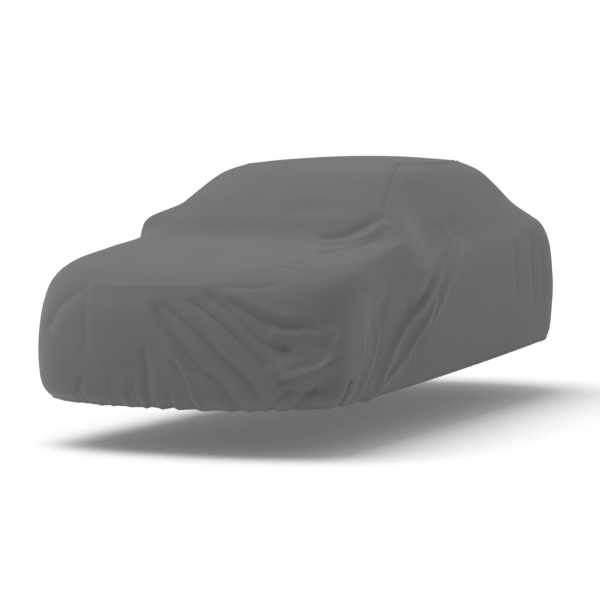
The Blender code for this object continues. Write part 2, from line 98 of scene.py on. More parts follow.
# Ridges of a positive height and troughs of a negative one, each on a smooth path over the cloth.
# edge tells its section: 2 is a soft hump, and nearer 1 it is a crisp crease with hollow flanks.
# It fades at both ends of its path, so one that runs past the hem stays open there.
FOLDS = [
    # the far front corner and the face
    Fold("far corner trough", -0.014, 0.050, 1.8, (
        (-0.50, -2.26, 0.99), (-0.62, -2.29, 0.92), (-0.74, -2.29, 0.82), (-0.82, -2.27, 0.66)
    )),
    Fold("far face crease", -0.005, 0.026, 1.5, (
        (-0.55, -2.27, 0.95), (-0.50, -2.38, 0.77), (-0.49, -2.41, 0.56)
    )),
    Fold("bonnet lip", 0.015, 0.045, 1.1, (
        (-0.66, -2.24, 0.97), (-0.40, -2.30, 0.97), (-0.10, -2.31, 0.975), (0.22, -2.29, 0.98),
        (0.42, -2.25, 0.99)
    )),
    Fold("under the lip", -0.004, 0.050, 2.0, (
        (-0.60, -2.28, 0.93), (-0.36, -2.34, 0.92), (-0.05, -2.35, 0.92), (0.24, -2.34, 0.93)
    )),
    # the fan that runs from the edge of the bonnet down to the near front corner
    Fold("fan ridge 1", 0.014, 0.030, 1.6, (
        (-0.17, -2.33, 0.95), (-0.01, -2.42, 0.76), (0.09, -2.44, 0.62), (0.17, -2.43, 0.47),
        (0.24, -2.34, 0.24)
    )),
    Fold("fan crease 1", -0.014, 0.022, 1.2, (
        (0.07, -2.44, 0.58), (0.16, -2.43, 0.44), (0.19, -2.35, 0.22)
    )),
    Fold("fan crease 2", -0.026, 0.036, 1.3, (
        (-0.10, -2.36, 0.92), (0.04, -2.42, 0.74), (0.22, -2.43, 0.54), (0.37, -2.41, 0.43),
        (0.48, -2.31, 0.24)
    )),
    Fold("fan crease 3", -0.030, 0.034, 1.2, (
        (-0.04, -2.36, 0.92), (0.09, -2.41, 0.82), (0.22, -2.42, 0.73), (0.37, -2.42, 0.59),
        (0.52, -2.40, 0.46), (0.64, -2.31, 0.28)
    )),
    Fold("fan line", -0.008, 0.014, 1.2, ((0.04, -2.35, 0.92), (0.16, -2.40, 0.84), (0.26, -2.42, 0.77))),
    Fold("fan crease 4", -0.032, 0.036, 1.2, (
        (0.10, -2.35, 0.94), (0.26, -2.39, 0.85), (0.40, -2.40, 0.75), (0.57, -2.39, 0.61),
        (0.68, -2.36, 0.51)
    )),
    Fold("fan crease 5", -0.032, 0.038, 1.3, (
        (0.20, -2.31, 0.96), (0.34, -2.36, 0.90), (0.49, -2.38, 0.78), (0.61, -2.37, 0.685),
        (0.71, -2.33, 0.65), (0.79, -2.30, 0.63)
    )),
    Fold("fan crease 6", -0.028, 0.034, 1.3, (
        (0.34, -2.32, 0.94), (0.45, -2.34, 0.88), (0.56, -2.35, 0.83), (0.65, -2.34, 0.785),
        (0.74, -2.31, 0.76), (0.84, -2.25, 0.76), (0.94, -2.13, 0.71)
    )),
    Fold("fan ridge 6", 0.014, 0.026, 1.6, (
        (0.34, -2.30, 0.96), (0.54, -2.33, 0.88), (0.67, -2.32, 0.83), (0.82, -2.25, 0.80)
    )),
    # the crumpled bulge on the near front corner, and the cloth drawn in under it
    Fold("top bulge", 0.024, 0.048, 2.0, (
        (0.62, -2.35, 0.73), (0.73, -2.33, 0.72), (0.82, -2.27, 0.725), (0.91, -2.19, 0.715),
        (0.97, -2.08, 0.70)
    )),
    Fold("middle bulge", 0.014, 0.030, 1.9, (
        (0.80, -2.29, 0.66), (0.86, -2.25, 0.645), (0.90, -2.21, 0.60), (0.86, -2.25, 0.55)
    )),
    Fold("low bulge", 0.036, 0.060, 2.0, (
        (0.68, -2.35, 0.52), (0.77, -2.32, 0.545), (0.86, -2.25, 0.565), (0.95, -2.13, 0.61)
    )),
    Fold("upper dimple", -0.006, 0.034, 2.0, (
        (0.85, -2.25, 0.68), (0.92, -2.17, 0.675), (0.97, -2.08, 0.66)
    )),
    Fold("lower dimple", -0.004, 0.028, 1.8, (
        (0.70, -2.34, 0.63), (0.78, -2.31, 0.61), (0.84, -2.27, 0.58), (0.88, -2.23, 0.56)
    )),
    Fold("under the bulge", -0.026, 0.036, 1.4, (
        (0.68, -2.35, 0.43), (0.75, -2.32, 0.465), (0.82, -2.29, 0.49), (0.90, -2.21, 0.53),
        (0.98, -2.05, 0.60)
    )),
    Fold("drawn-in corner", -0.046, 0.095, 2.0, (
        (0.70, -2.33, 0.32), (0.84, -2.26, 0.38), (0.94, -2.15, 0.43), (0.98, -2.02, 0.42)
    )),
    Fold("hem crease 1", -0.018, 0.020, 1.3, (
        (0.78, -2.30, 0.43), (0.71, -2.32, 0.37), (0.66, -2.31, 0.33), (0.62, -2.25, 0.22)
    )),
    Fold("hem crease 2", -0.014, 0.018, 1.3, (
        (0.91, -2.18, 0.41), (0.83, -2.24, 0.35), (0.72, -2.23, 0.22)
    )),
    Fold("hem crease 3", -0.020, 0.022, 1.4, (
        (0.99, -1.92, 0.46), (0.97, -1.98, 0.36), (0.92, -1.99, 0.20)
    )),
    # the near side
    Fold("wheel hollow", -0.040, 0.200, 2.0, (
        (0.99, -1.80, 0.72), (0.99, -1.30, 0.72), (0.99, -0.70, 0.80)
    )),
    Fold("hollow's brow", 0.009, 0.036, 1.5, (
        (0.98, -1.80, 0.97), (0.98, -1.45, 0.95), (0.98, -1.20, 0.93), (0.98, -0.76, 0.89)
    )),
    Fold("hollow's pit", -0.010, 0.075, 2.0, (
        (0.98, -1.30, 0.96), (0.99, -1.40, 0.86), (0.99, -1.50, 0.70)
    )),
    Fold("wheel crease 1", -0.006, 0.032, 1.9, (
        (0.99, -1.71, 0.72), (0.99, -1.71, 0.60), (0.98, -1.79, 0.46), (0.96, -1.92, 0.22)
    )),
    Fold("wheel ridge", 0.006, 0.030, 1.9, (
        (0.99, -1.42, 0.70), (0.99, -1.56, 0.56), (0.98, -1.69, 0.45), (0.95, -1.84, 0.22)
    )),
    Fold("wheel crease 2", -0.006, 0.032, 1.9, (
        (0.99, -1.40, 0.68), (0.99, -1.55, 0.50), (0.98, -1.68, 0.40), (0.95, -1.76, 0.22)
    )),
    Fold("mirror streak", -0.005, 0.040, 1.9, (
        (0.82, -0.03, 1.27), (0.84, -0.32, 1.23), (0.87, -0.65, 1.17), (0.92, -0.80, 1.12)
    )),
    Fold("side crease 1", -0.010, 0.036, 1.6, (
        (0.80, 0.34, 1.34), (0.85, -0.11, 1.20), (0.91, -0.57, 1.11), (0.97, -1.06, 1.00)
    )),
    Fold("side band", 0.010, 0.050, 1.9, (
        (0.84, 0.12, 1.24), (0.89, -0.20, 1.14), (0.95, -0.60, 1.04), (0.98, -0.96, 0.92)
    )),
    Fold("side crease 2", -0.009, 0.034, 1.6, (
        (0.85, 0.16, 1.22), (0.93, -0.28, 1.07), (0.97, -0.58, 0.97), (0.99, -0.75, 0.89),
        (0.99, -0.94, 0.76)
    )),
    Fold("long ridge 1", 0.020, 0.036, 1.8, (
        (0.94, -0.28, 1.06), (0.98, -0.61, 0.90), (0.99, -0.90, 0.75), (0.99, -1.23, 0.58),
        (0.99, -1.38, 0.48), (0.97, -1.56, 0.34)
    )),
    Fold("gap crease", -0.003, 0.026, 1.7, (
        (0.94, -0.18, 1.04), (0.99, -0.52, 0.88), (0.99, -0.72, 0.74), (0.99, -0.98, 0.60),
        (0.99, -1.16, 0.50)
    )),
    Fold("long ridge 2", 0.012, 0.028, 1.7, (
        (0.99, -0.54, 0.88), (0.99, -0.73, 0.70), (0.99, -0.92, 0.59), (0.99, -1.12, 0.46)
    )),
    Fold("right ridge", 0.013, 0.034, 1.8, (
        (0.88, 0.22, 1.17), (0.96, -0.15, 1.00), (0.98, -0.37, 0.89), (0.99, -0.51, 0.79),
        (0.99, -0.68, 0.66)
    )),
    Fold("low ridge", 0.016, 0.032, 1.8, (
        (0.99, -0.98, 0.56), (0.99, -1.21, 0.46), (0.98, -1.41, 0.38), (0.93, -1.76, 0.22)
    )),
    Fold("low crease", -0.006, 0.016, 1.2, (
        (0.99, -1.02, 0.56), (0.99, -1.27, 0.46), (0.98, -1.44, 0.40)
    )),
    Fold("rear trough 1", -0.005, 0.040, 1.8, (
        (0.92, 1.16, 1.16), (0.97, 1.03, 0.96), (0.98, 1.00, 0.74)
    )),
    Fold("rear trough 2", -0.008, 0.030, 1.5, (
        (0.91, 1.52, 1.20), (0.97, 1.38, 0.94), (0.98, 1.43, 0.62)
    )),
    Fold("rear trough 3", -0.004, 0.030, 1.7, (
        (0.93, 1.64, 1.16), (0.97, 1.60, 0.95), (0.97, 1.62, 0.70)
    )),
    # the bonnet and the foot of the windscreen
    Fold("bonnet edge trough", -0.010, 0.022, 1.4, (
        (0.28, -2.28, 1.00), (0.44, -2.27, 0.98), (0.54, -2.25, 0.98), (0.66, -2.18, 1.00)
    )),
    Fold("bonnet side trough 1", -0.009, 0.030, 1.7, (
        (0.50, -1.98, 1.09), (0.68, -2.01, 1.07), (0.86, -2.04, 1.02)
    )),
    Fold("bonnet side trough 2", -0.007, 0.026, 1.7, (
        (0.58, -1.88, 1.10), (0.72, -1.94, 1.09), (0.84, -2.04, 1.04)
    )),
    Fold("cowl crease 1", -0.022, 0.036, 1.6, (
        (0.42, -1.14, 1.23), (0.56, -1.09, 1.23), (0.66, -0.94, 1.29), (0.74, -0.76, 1.38)
    )),
    Fold("cowl ridge", 0.016, 0.028, 1.7, (
        (0.48, -1.36, 1.18), (0.62, -1.25, 1.19), (0.72, -1.03, 1.23), (0.78, -0.82, 1.32)
    )),
    Fold("cowl crease 2", -0.016, 0.026, 1.3, (
        (0.60, -1.62, 1.15), (0.68, -1.47, 1.16), (0.75, -1.21, 1.19), (0.80, -0.96, 1.24)
    )),
    Fold("windscreen dent", -0.010, 0.090, 2.0, (
        (0.05, -0.87, 1.39), (0.30, -0.86, 1.39), (0.50, -0.79, 1.41)
    )),
    # small crumples low on the face
    Fold("face hem crease", -0.014, 0.022, 1.2, (
        (-0.11, -2.43, 0.66), (-0.08, -2.42, 0.45), (-0.11, -2.34, 0.20)
    )),
    Fold("hem pucker 1", -0.009, 0.020, 1.3, (
        (-0.50, -2.40, 0.46), (-0.56, -2.36, 0.36), (-0.60, -2.30, 0.22)
    )),
    Fold("hem pucker 2", -0.008, 0.016, 1.3, ((-0.54, -2.37, 0.38), (-0.52, -2.31, 0.24))),
    Fold("hem pucker 3", -0.008, 0.020, 1.3, (
        (-0.32, -2.42, 0.48), (-0.33, -2.38, 0.34), (-0.34, -2.33, 0.22)
    )),
    Fold("hem pucker 4", -0.008, 0.020, 1.3, (
        (-0.14, -2.43, 0.48), (-0.20, -2.40, 0.36), (-0.25, -2.33, 0.22)
    )),
    Fold("hem pucker 5", -0.010, 0.018, 1.3, ((0.07, -2.42, 0.40), (0.03, -2.34, 0.22))),
    Fold("crumple 1", 0.004, 0.018, 1.4, (
        (-0.60, -2.37, 0.68), (-0.57, -2.39, 0.63), (-0.52, -2.40, 0.62)
    )),
    Fold("crumple 2", 0.005, 0.018, 1.4, (
        (-0.45, -2.41, 0.63), (-0.41, -2.42, 0.57), (-0.36, -2.42, 0.53)
    )),
    Fold("crumple 3", -0.007, 0.018, 1.4, (
        (-0.26, -2.43, 0.54), (-0.20, -2.43, 0.52), (-0.12, -2.43, 0.53)
    )),
    # the hidden side and the tail
    Fold("far long ridge", 0.024, 0.032, 1.5, (
        (-0.94, -0.28, 1.06), (-0.98, -0.66, 0.86), (-0.99, -1.05, 0.66), (-0.98, -1.45, 0.42),
        (-0.95, -1.75, 0.22)
    )),
    Fold("far long crease", -0.020, 0.028, 1.2, (
        (-0.90, -0.10, 1.12), (-0.98, -0.50, 0.86), (-0.99, -0.90, 0.60), (-0.96, -1.60, 0.22)
    )),
    Fold("far side ridge", 0.020, 0.034, 1.6, (
        (-0.88, 0.30, 1.17), (-0.97, -0.10, 0.94), (-0.99, -0.46, 0.72), (-0.99, -0.76, 0.50)
    )),
    Fold("far wheel trough", -0.018, 0.040, 1.6, (
        (-0.99, -1.60, 0.90), (-0.99, -1.68, 0.66), (-0.96, -1.86, 0.22)
    )),
    Fold("far rear trough", -0.018, 0.034, 1.3, (
        (-0.92, 1.40, 1.18), (-0.97, 1.30, 0.92), (-0.98, 1.26, 0.60)
    )),
    Fold("far rear ridge", 0.014, 0.040, 1.7, (
        (-0.92, 1.58, 1.16), (-0.97, 1.55, 0.90), (-0.96, 1.56, 0.22)
    )),
    Fold("tail crease 1", -0.020, 0.034, 1.3, ((0.52, 2.40, 1.12), (0.60, 2.45, 0.80), (0.66, 2.38, 0.22))),
    Fold("tail ridge", 0.014, 0.040, 1.7, ((0.30, 2.42, 1.10), (0.36, 2.48, 0.76), (0.34, 2.44, 0.22))),
    Fold("tail crease 2", -0.018, 0.034, 1.3, (
        (-0.20, 2.45, 1.08), (-0.26, 2.48, 0.76), (-0.30, 2.44, 0.22)
    )),
    Fold("tail crease 3", -0.018, 0.036, 1.4, (
        (-0.56, 2.38, 1.12), (-0.62, 2.44, 0.80), (-0.70, 2.34, 0.22)
    )),
]
FOLD_STEPS = 30  # straight steps that a path is walked in
FOLD_REACH = 4  # widths from its path past which a fold is no longer felt
FADE_SHARE = 0.15  # of its length, over which a fold rises at either end
FADE_WIDTHS = 1.5  # but over no less than this many of its widths

SEAM_DEPTH = 0.006
SEAM_FAINT = 0.15  # share of that depth below the glass
SEAM_DEEPENS = (8.5, 10.5)  # lines between which a seam gets its whole depth
POCKET_SEAM_DEPTH = 0.0005

HEM_CASING = 0.024  # height of the sewn channel that holds the hem's elastic
CASING_SWELL = 0.0022  # how far it stands out
CASING_GROOVE = 0.0020  # depth of the line of stitching along its top
CASING_GROOVE_WIDTH = 0.005
GATHER_WAVE = 0.120  # mean distance between the elastic's gathers
GATHER_DEPTH = 0.006
GATHER_RISE = 0.10  # how far up the cloth they show
GATHER_FRONT = (-0.25, 0.75)  # middle and half width of the stretch of the front where they are deep
FRONT_BEFORE = -2.0  # the hem's front lies before this y in the frame
GATHER_ELSEWHERE = 0.18  # share of their depth on the rest of the hem
# What makes the gathers uneven: waves round the hem, each with its size, its number and its start.
Wave = namedtuple("Wave", "size number start")
DRIFT_WAVES = (Wave(2.3, 5, 0.7), Wave(1.7, 11, 2.1), Wave(0.9, 23, 0.0))
STRENGTH_WAVES = (Wave(0.30, 7, 1.3), Wave(0.25, 17, 4.0))
STRENGTH_MEAN = 0.55
RISE_WAVES = (Wave(0.5, 13, 2.0),)
GATHER_KINK = Wave(0.35, 2, 0.6)  # its number counts within one gather

# How the door mirrors push the cloth out sideways: by reach at the height peak, less towards low and
# top, and less in front of and behind y, over spread. Below peak the middle leans forwards by lean.
Mirror = namedtuple("Mirror", "name side y low peak top reach spread lean")
MIRRORS = [
    Mirror("mirror_pocket_left", 1, -0.84, 0.76, 1.20, 1.54, 0.056, 0.300, 0.4),
    Mirror("mirror_pocket_right", -1, -0.79, 1.05, 1.35, 1.47, 0.135, 0.092, 0.2),
]
PILLAR_X = (0.60, 0.80)  # the mirrors don't move the cloth inside the first of these
POCKET_LINES = (7.5, 9.0)  # lines between which the mirror pockets are cut
POCKET_CELLS = (-16, 40)  # and columns, counted from where the side begins

SKY_LIGHT = 0.48
SKY_LEAN = 0.10  # how much more of it comes from the car's right than from its left
KEY_LIGHT = 2.0
KEY_SPREAD = 50  # degrees across the soft light from above
KEY_FROM = (-0.30, -0.20, 1.0)  # the way towards it
FLOOR_HALF = 60.0
FLOOR_GLOW = 0.10

VIEW_AZIMUTH = 23.34  # degrees round from the car's front towards its left
VIEW_ELEVATION = 3.72
VIEW_DISTANCE = 16.62
VIEW_LENS = 151.92
VIEW_SENSOR = 36
VIEW_HEIGHT = 0.759  # of the point looked at, above the ground
VIEW_SHIFT = -0.164  # of that point to the view's right

# Width and length of the cloth that each panel is cut from, and the share of it that is used.
FLAT = {
    "centre_panel": (1.85, 8.7, 0.86),
    "side_panel_left": (5.3, 1.5, 0.70),
    "side_panel_right": (5.3, 1.5, 0.70),
    "mirror_pocket_left": (0.34, 0.24, 0.90),
    "mirror_pocket_right": (0.34, 0.26, 0.90),
}
SHARP_ANGLE = 60  # degrees between faces past which an edge shows


def smooth(rows, at):
    """The table's columns at the places at, counted in rows, on a smooth curve through all of them."""
    rows = np.asarray(rows, float)
    last = len(rows) - 1
    slope = np.empty_like(rows)
    slope[1:-1] = (rows[2:] - rows[:-2]) / 2
    slope[0] = rows[1] - rows[0]
    slope[-1] = rows[-1] - rows[-2]
    i = np.clip(np.floor(at).astype(int), 0, last - 1)
    t = (np.asarray(at) - i)[:, None]
    return (
        (2 * t**3 - 3 * t**2 + 1) * rows[i]
        + (t**3 - 2 * t**2 + t) * slope[i]
        + (3 * t**2 - 2 * t**3) * rows[i + 1]
        + (t**3 - t**2) * slope[i + 1]
    )


def ease(t):
    """From 0 to 1 with a soft start and end."""
    t = np.clip(t, 0, 1)
    return t * t * (3 - 2 * t)


def curve_through(t, start, middle, end):
    """A parabola through start, middle (halfway) and end."""
    bow = (middle - (start + end) / 2) * 4
    return start + (end - start) * t + bow * t * (1 - t)


def half_line(line, seam_x, steps):
    """Points of one line down the left half, from the front's middle to the tail's.

    They part it at the front seam, at both ends of the side and at the tail seam, and steps holds the
    shares of each part that they stand at.
    """
    turn = np.linspace(0, np.pi / 2, TURN_POINTS)
    bend = np.linspace(0, 1, BEND_POINTS)
    front_start = line.front_y + line.front_round
    rear_start = line.rear_y - line.rear_round
    front_x = line.fore_x * np.sin(turn) ** (2 / FRONT_SHAPE)
    front_y = front_start - line.front_round * np.cos(turn) ** (2 / FRONT_SHAPE)
    side_y = front_start + (rear_start - front_start) * bend
    side_x = curve_through(bend, line.fore_x, line.mid_x, line.aft_x)
    rear_x = line.aft_x * np.cos(turn) ** (2 / REAR_SHAPE)
    rear_y = rear_start + line.rear_round * np.sin(turn) ** (2 / REAR_SHAPE)
    front_z = line.front_z + (line.fore_z - line.front_z) * ease(turn / turn[-1])
    side_z = curve_through(bend, line.fore_z, line.mid_z, line.aft_z)
    rear_z = line.aft_z + (line.rear_z - line.aft_z) * ease(turn / turn[-1])
    x = np.concatenate([front_x, side_x[1:], rear_x[1:]])
    y = np.concatenate([front_y, side_y[1:], rear_y[1:]])
    z = np.concatenate([front_z, side_z[1:], rear_z[1:]])
    along = np.concatenate([[0], np.cumsum(np.hypot(np.diff(x), np.diff(y)))])
    tail_x = min(seam_x, TAIL_SHARE * line.aft_x)
    marks = [
        0,
        np.interp(seam_x, front_x, along[: len(front_x)]),
        along[len(front_x) - 1],
        along[len(front_x) + len(side_x) - 2],
        along[-1] - np.interp(tail_x, rear_x[::-1], (along[-1] - along[-len(rear_x) :])[::-1]),
        along[-1],
    ]
    at = np.concatenate([[0]] + [a + (b - a) * s for a, b, s in zip(marks, marks[1:], steps)])
    return np.column_stack([np.interp(at, along, x), np.interp(at, along, y), np.interp(at, along, z)])


def mirror_push(points):
    """How far sideways each of the points moves for the door mirrors under the cloth."""
    x, y, z = points.T
    push = np.zeros(len(points))
    for mirror in MIRRORS:
        rise = ease((z - mirror.low) / (mirror.peak - mirror.low))
        fall = ease((mirror.top - z) / (mirror.top - mirror.peak))
        middle = mirror.y - mirror.lean * (mirror.peak - z)
        share = ease((x * mirror.side - PILLAR_X[0]) / (PILLAR_X[1] - PILLAR_X[0]))
        across = np.exp(-(((y - middle) / mirror.spread) ** 2))
        push += mirror.side * mirror.reach * rise * fall * share * across
    return push


class Sheet:
    """The whole cover: a grid of points, rings of them from the hem up, then the roof's inner points."""

    def __init__(self):
        counts = (END_CELLS, CORNER_CELLS, SIDE_CELLS, REAR_CELLS, END_CELLS)
        shares = [np.linspace(0, 1, cells + 1)[1:] for cells in counts]
        shares[0] = shares[0] ** END_CROWDING
        shares[2] = shares[2] ** SIDE_CROWDING
        shares[4] = 1 - (1 - shares[4]) ** END_CROWDING
        self.end = END_CELLS
        self.side = CORNER_CELLS + SIDE_CELLS + REAR_CELLS
        self.levels = [0.0] + [
            i + (k + 1) / line.cells for i, line in enumerate(LINES[:-1]) for k in range(line.cells)
        ]
        rows = [(*line[1:-1], seam_x) for line, seam_x in zip(LINES, SEAM_X)]
        loops = []
        for *row, seam_x in smooth(rows, np.array(self.levels)):
            left = half_line(Line("", *row, 0), seam_x, shares)
            loops.append(np.concatenate([left, left[-2:0:-1] * (-1, 1, 1)]))
        self.round = len(loops[0])
        self.rings = len(loops)
        self.stride = [max(s for line, s in STRIDES if line <= level + 1e-6) for level in self.levels]
        points = np.concatenate(loops + [self.roof(loops[-1])])
        points[:, 0] += mirror_push(points)
        self.points = points - ORIGIN
        self.pocket_rings = range(*(self.levels.index(level) for level in POCKET_LINES))
        self.pocket_columns = range(*(self.end + CORNER_CELLS + cells for cells in POCKET_CELLS))
        self.quads, self.panel = self.all_cells(list(range(self.rings)))

    def roof_ring(self, row, column):
        """The number, on the roof's edge, of the roof's point at the given row and column."""
        if row == 0:
            return (column - self.end) % self.round
        if row == self.side:
            return self.end + self.side + 2 * self.end - column
        return self.round - self.end - row if column == 0 else self.end + row

    def roof(self, edge):
        """The roof's inner points, on a crowned surface between its four edges."""
        s = self.stride[-1]
        columns, rows = range(0, 2 * self.end + 1, s), range(0, self.side + 1, s)
        self.roof_columns, self.roof_rows = list(columns), list(rows)
        front = edge[[self.roof_ring(0, c) for c in columns]]
        back = edge[[self.roof_ring(self.side, c) for c in columns]]
        right = edge[[self.roof_ring(r, 0) for r in rows]]
        left = edge[[self.roof_ring(r, 2 * self.end) for r in rows]]
        u = np.linspace(0, 1, len(columns))[None, :, None]
        v = np.linspace(0, 1, len(rows))[:, None, None]
        grid = (
            (1 - u) * right[:, None] + u * left[:, None] + (1 - v) * front[None] + v * back[None]
            - (1 - u) * (1 - v) * front[0] - u * (1 - v) * front[-1]
            - (1 - u) * v * back[0] - u * v * back[-1]
        )
        grid[..., 2] += ROOF_CROWN * ((1 - (2 * u - 1) ** 2) * (1 - (2 * v - 1) ** 4))[..., 0]
        return grid[1:-1, 1:-1].reshape(-1, 3)

    def panel_of(self, ring, column):
        """The name of the piece that the cell above this point belongs to."""
        pocket = ring in self.pocket_rings
        if pocket and column in self.pocket_columns:
            return "mirror_pocket_left"
        if pocket and self.round - column - 1 in self.pocket_columns:
            return "mirror_pocket_right"
        if self.end <= column < self.end + self.side:
            return "side_panel_left"
        if self.end <= self.round - column - 1 < self.end + self.side:
            return "side_panel_right"
        return "centre_panel"

    def ring_cells(self, ring, upper, first, last):
        """The cells from one ring to an upper one between two columns, and each one's panel."""
        s, above = self.stride[ring], self.stride[upper]
        a, b = ring * self.round, upper * self.round
        cells = []
        panel = []
        for j in range(first, last, above):
            k = (j + above) % self.round
            if s == above:
                new = [(a + j, a + k, b + k, b + j)]
            else:  # the cells above are twice as wide
                m = j + s
                new = [
                    (a + j, a + m, b + j, b + j),
                    (a + m, a + k, b + k, b + k),
                    (a + m, b + k, b + j, b + j),
                ]
            cells += new
            panel += [self.panel_of(ring, j)] * len(new)
        return cells, panel

    def roof_point(self, r, c):
        """The number of the roof's point in row r and column c of its own grid."""
        rows, columns = self.roof_rows, self.roof_columns
        if 0 < r < len(rows) - 1 and 0 < c < len(columns) - 1:
            return self.rings * self.round + (r - 1) * (len(columns) - 2) + c - 1
        return (self.rings - 1) * self.round + self.roof_ring(rows[r], columns[c])

    def all_cells(self, tail_rings):
        """Every cell as four points, the last two alike in a triangle, and each cell's panel.

        Across the tail, between its two seams, the cells reach from one of the tail_rings to the next.
        """
        cells = []
        panel = []
        tail_first = self.end + self.side
        tail_last = self.round - tail_first
        spans = [(ring, ring + 1, 0, tail_first) for ring in range(self.rings - 1)]
        spans += [(ring, ring + 1, tail_last, self.round) for ring in range(self.rings - 1)]
        spans += [(ring, upper, tail_first, tail_last) for ring, upper in zip(tail_rings, tail_rings[1:])]
        for span in spans:
            ring_cells, ring_panel = self.ring_cells(*span)
            cells += ring_cells
            panel += ring_panel
        around = ((0, 0), (0, 1), (1, 1), (1, 0))
        for r in range(len(self.roof_rows) - 1):
            for c in range(len(self.roof_columns) - 1):
                cells.append(tuple(self.roof_point(r + down, c + across) for down, across in around))
                panel.append("centre_panel")
        return np.array(cells), np.array(panel)

    def drawn_cells(self):
        """The same cells, but taller ones on the tail."""
        hem = list(range(TAIL_HEM_RINGS))
        return self.all_cells(hem + list(range(TAIL_HEM_RINGS, self.rings - 1, TAIL_STEP)) + [self.rings - 1])


def normals_of(points, cells):
    """The normal at every point, from the cells round it."""
    corner = points[cells]
    face = np.cross(corner[:, 2] - corner[:, 0], corner[:, 3] - corner[:, 1])
    normals = np.zeros_like(points)
    for k in range(4):
        np.add.at(normals, cells[:, k], face)
    length = np.linalg.norm(normals, axis=1)
    return normals / np.maximum(length, 1e-12)[:, None]


def lay_folds(points, normals):
    """How far every one of the sheet's points moves out for all the folds, whose paths are laid on it."""
    move = np.zeros(len(points))
    for fold in FOLDS:
        way = np.array(fold.path) - ORIGIN
        path = smooth(way, np.linspace(0, len(way) - 1, FOLD_STEPS + 1))
        nearest = np.array([np.argmin(((points - p) ** 2).sum(1)) for p in path])
        normal = normals[nearest]
        path = path - ((path - points[nearest]) * normal).sum(1)[:, None] * normal
        reach = FOLD_REACH * fold.width
        near = np.flatnonzero(((points > path.min(0) - reach) & (points < path.max(0) + reach)).all(1))
        best = np.full(len(near), np.inf)
        place = np.zeros(len(near))
        for k, (a, b) in enumerate(zip(path, path[1:])):
            span = b - a
            t = np.clip(((points[near] - a) @ span) / (span @ span), 0, 1)
            gap = np.linalg.norm(points[near] - a - t[:, None] * span, axis=1)
            closer = gap < best
            best[closer] = gap[closer]
            place[closer] = (k + t[closer]) / FOLD_STEPS
        length = np.linalg.norm(np.diff(path, axis=0), axis=1).sum()
        fade = ease(np.minimum(place, 1 - place) / max(FADE_SHARE, FADE_WIDTHS * fold.width / length))
        move[near] += fold.height * fade * np.exp(-((best / fold.width) ** fold.edge))
    return move


def sum_of(waves, turn):
    """The waves added up at each place round the hem, where turn is an angle."""
    return sum(wave.size * np.sin(wave.number * turn + wave.start) for wave in waves)


def gathers(sheet):
    """How far the points move out for the hem's elastic: its casing, and the gathers above it."""
    grid = sheet.points[: sheet.rings * sheet.round].reshape(sheet.rings, sheet.round, 3)
    hem = grid[0]
    step = np.linalg.norm(np.roll(hem, -1, 0) - hem, axis=1)
    run = np.concatenate([[0], np.cumsum(step)])[:-1]
    turn = 2 * np.pi * run / step.sum()
    rows = np.linalg.norm(np.diff(grid, axis=0), axis=2)
    rise = np.concatenate([np.zeros((1, sheet.round)), np.cumsum(rows, 0)])
    count = round(step.sum() / GATHER_WAVE)
    phase = count * turn + sum_of(DRIFT_WAVES, turn)
    strength = STRENGTH_MEAN + sum_of(STRENGTH_WAVES, turn)
    ripple = np.sin(phase) - GATHER_KINK.size * np.cos(GATHER_KINK.number * phase + GATHER_KINK.start)
    up = GATHER_RISE * (1 + sum_of(RISE_WAVES, turn))
    middle, half = GATHER_FRONT
    front = np.exp(-(((hem[:, 0] - middle) / half) ** 4)) * (hem[:, 1] < FRONT_BEFORE)
    depth = GATHER_DEPTH * (GATHER_ELSEWHERE + (1 - GATHER_ELSEWHERE) * front) * strength * ripple
    move = depth[None] * np.exp(-((rise / up[None]) ** 1.5))
    casing = CASING_SWELL * np.clip(1 - ((rise - HEM_CASING / 2) / (HEM_CASING / 2)) ** 2, 0, 1)
    groove = -CASING_GROOVE * np.exp(-(((rise - HEM_CASING) / CASING_GROOVE_WIDTH) ** 2))
    out = np.zeros(len(sheet.points))
    out[: sheet.rings * sheet.round] = (move + casing + groove).ravel()
    return out


def seams(sheet):
    """How far the points move out where the panels are sewn: a groove between two raised allowances."""
    out = np.zeros(len(sheet.points))
    grid = out[: sheet.rings * sheet.round].reshape(sheet.rings, sheet.round)
    front, rear = sheet.end, sheet.end + sheet.side
    faint_to, whole_from = SEAM_DEEPENS
    for column in (front, rear, sheet.round - rear, sheet.round - front):
        for ring, (level, s) in enumerate(zip(sheet.levels, sheet.stride)):
            share = float(ease((level - faint_to) / (whole_from - faint_to)))
            depth = SEAM_DEPTH * (SEAM_FAINT + (1 - SEAM_FAINT) * share)
            grid[ring, column] -= depth
            grid[ring, [column - s, column + s]] += depth / 2
    sides = np.arange(sheet.end + 1, sheet.end + sheet.side)
    for columns in (sides, sheet.round - sides):
        grid[-1, columns] -= SEAM_DEPTH
        grid[-2, columns] += SEAM_DEPTH / 2
    return out


def pocket_seams(sheet):
    """How far the points on the border of each mirror pocket move out."""
    out = np.zeros(len(sheet.points))
    for mirror in MIRRORS:
        pocket = sheet.quads[sheet.panel == mirror.name]
        others = sheet.quads[sheet.panel != mirror.name]
        out[np.intersect1d(pocket, others)] = -POCKET_SEAM_DEPTH
    return out


